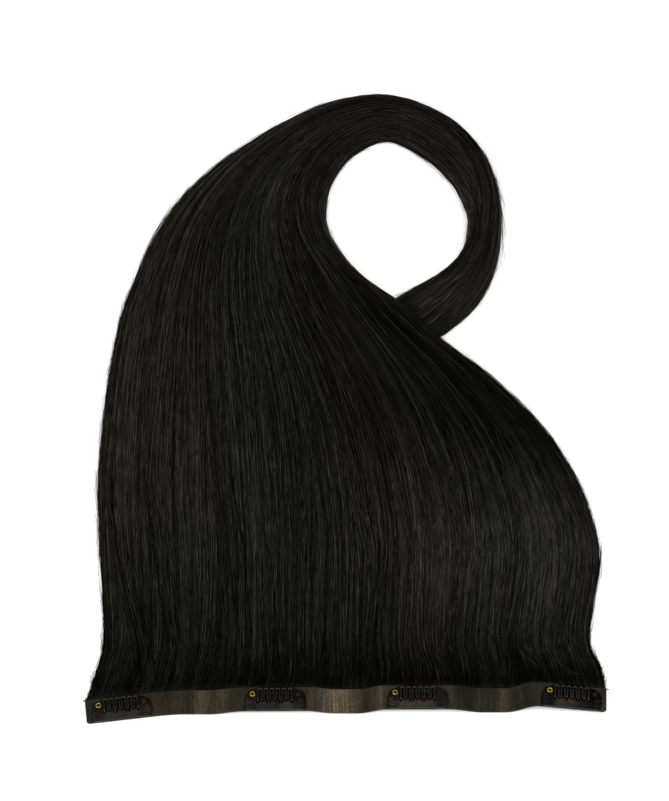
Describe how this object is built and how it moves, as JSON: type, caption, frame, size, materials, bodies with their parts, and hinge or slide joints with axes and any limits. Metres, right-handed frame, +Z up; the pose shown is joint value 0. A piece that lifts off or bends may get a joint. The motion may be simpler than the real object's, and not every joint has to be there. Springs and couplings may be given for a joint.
{
  "type": "clip in hair extension",
  "caption": "Wide clip-in hair extension: a thin weft band with sewn-on snap clips and long straight dark hair, laid flat with the tail curled into a loop.",
  "frame": {"origin": "bottom of the whole piece as it lies, in the middle of its width and length", "axes": "+X along the band, with the hair away from the viewer; +Y from the band towards the loop; +Z up, out of the side that carries the clips"},
  "size_m": [0.2412, 0.353, 0.0164],
  "materials": {
    "band": "semi-gloss polyurethane skin with strands set in it",
    "hair": "silky straight strands",
    "clip": "satin black paint on sheet steel",
    "eyelet": "polished"
  },
  "bodies": {
    "weft": {"weft_band": "band", "hair": "hair", "clip_1_frame": "clip", "clip_1_eyelet": "eyelet", "clip_2_frame": "clip", "clip_2_eyelet": "eyelet", "clip_3_frame": "clip", "clip_3_eyelet": "eyelet", "clip_4_frame": "clip", "clip_4_eyelet": "eyelet"},
    "comb_1": {"clip_1_comb": "clip"},
    "comb_2": {"clip_2_comb": "clip"},
    "comb_3": {"clip_3_comb": "clip"},
    "comb_4": {"clip_4_comb": "clip"}
  },
  "joints": [
    {"name": "comb_1_snap", "type": "hinge", "parent": "weft", "child": "comb_1", "pos_m": [-0.10318, -0.17121, 0.00225], "axis": [0.9924, 0.1234, 0], "range_deg": [0, 36]},
    {"name": "comb_2_snap", "type": "hinge", "parent": "weft", "child": "comb_2", "pos_m": [-0.03267, -0.16751, 0.00404], "axis": [1, 0.0056, 0], "range_deg": [0, 36]},
    {"name": "comb_3_snap", "type": "hinge", "parent": "weft", "child": "comb_3", "pos_m": [0.03308, -0.16704, 0.0049], "axis": [1, 0.0038, 0], "range_deg": [0, 36]},
    {"name": "comb_4_snap", "type": "hinge", "parent": "weft", "child": "comb_4", "pos_m": [0.10403, -0.16669, 0.0044], "axis": [0.992, -0.0458, -0.1175], "range_deg": [0, 36]}
  ]
}
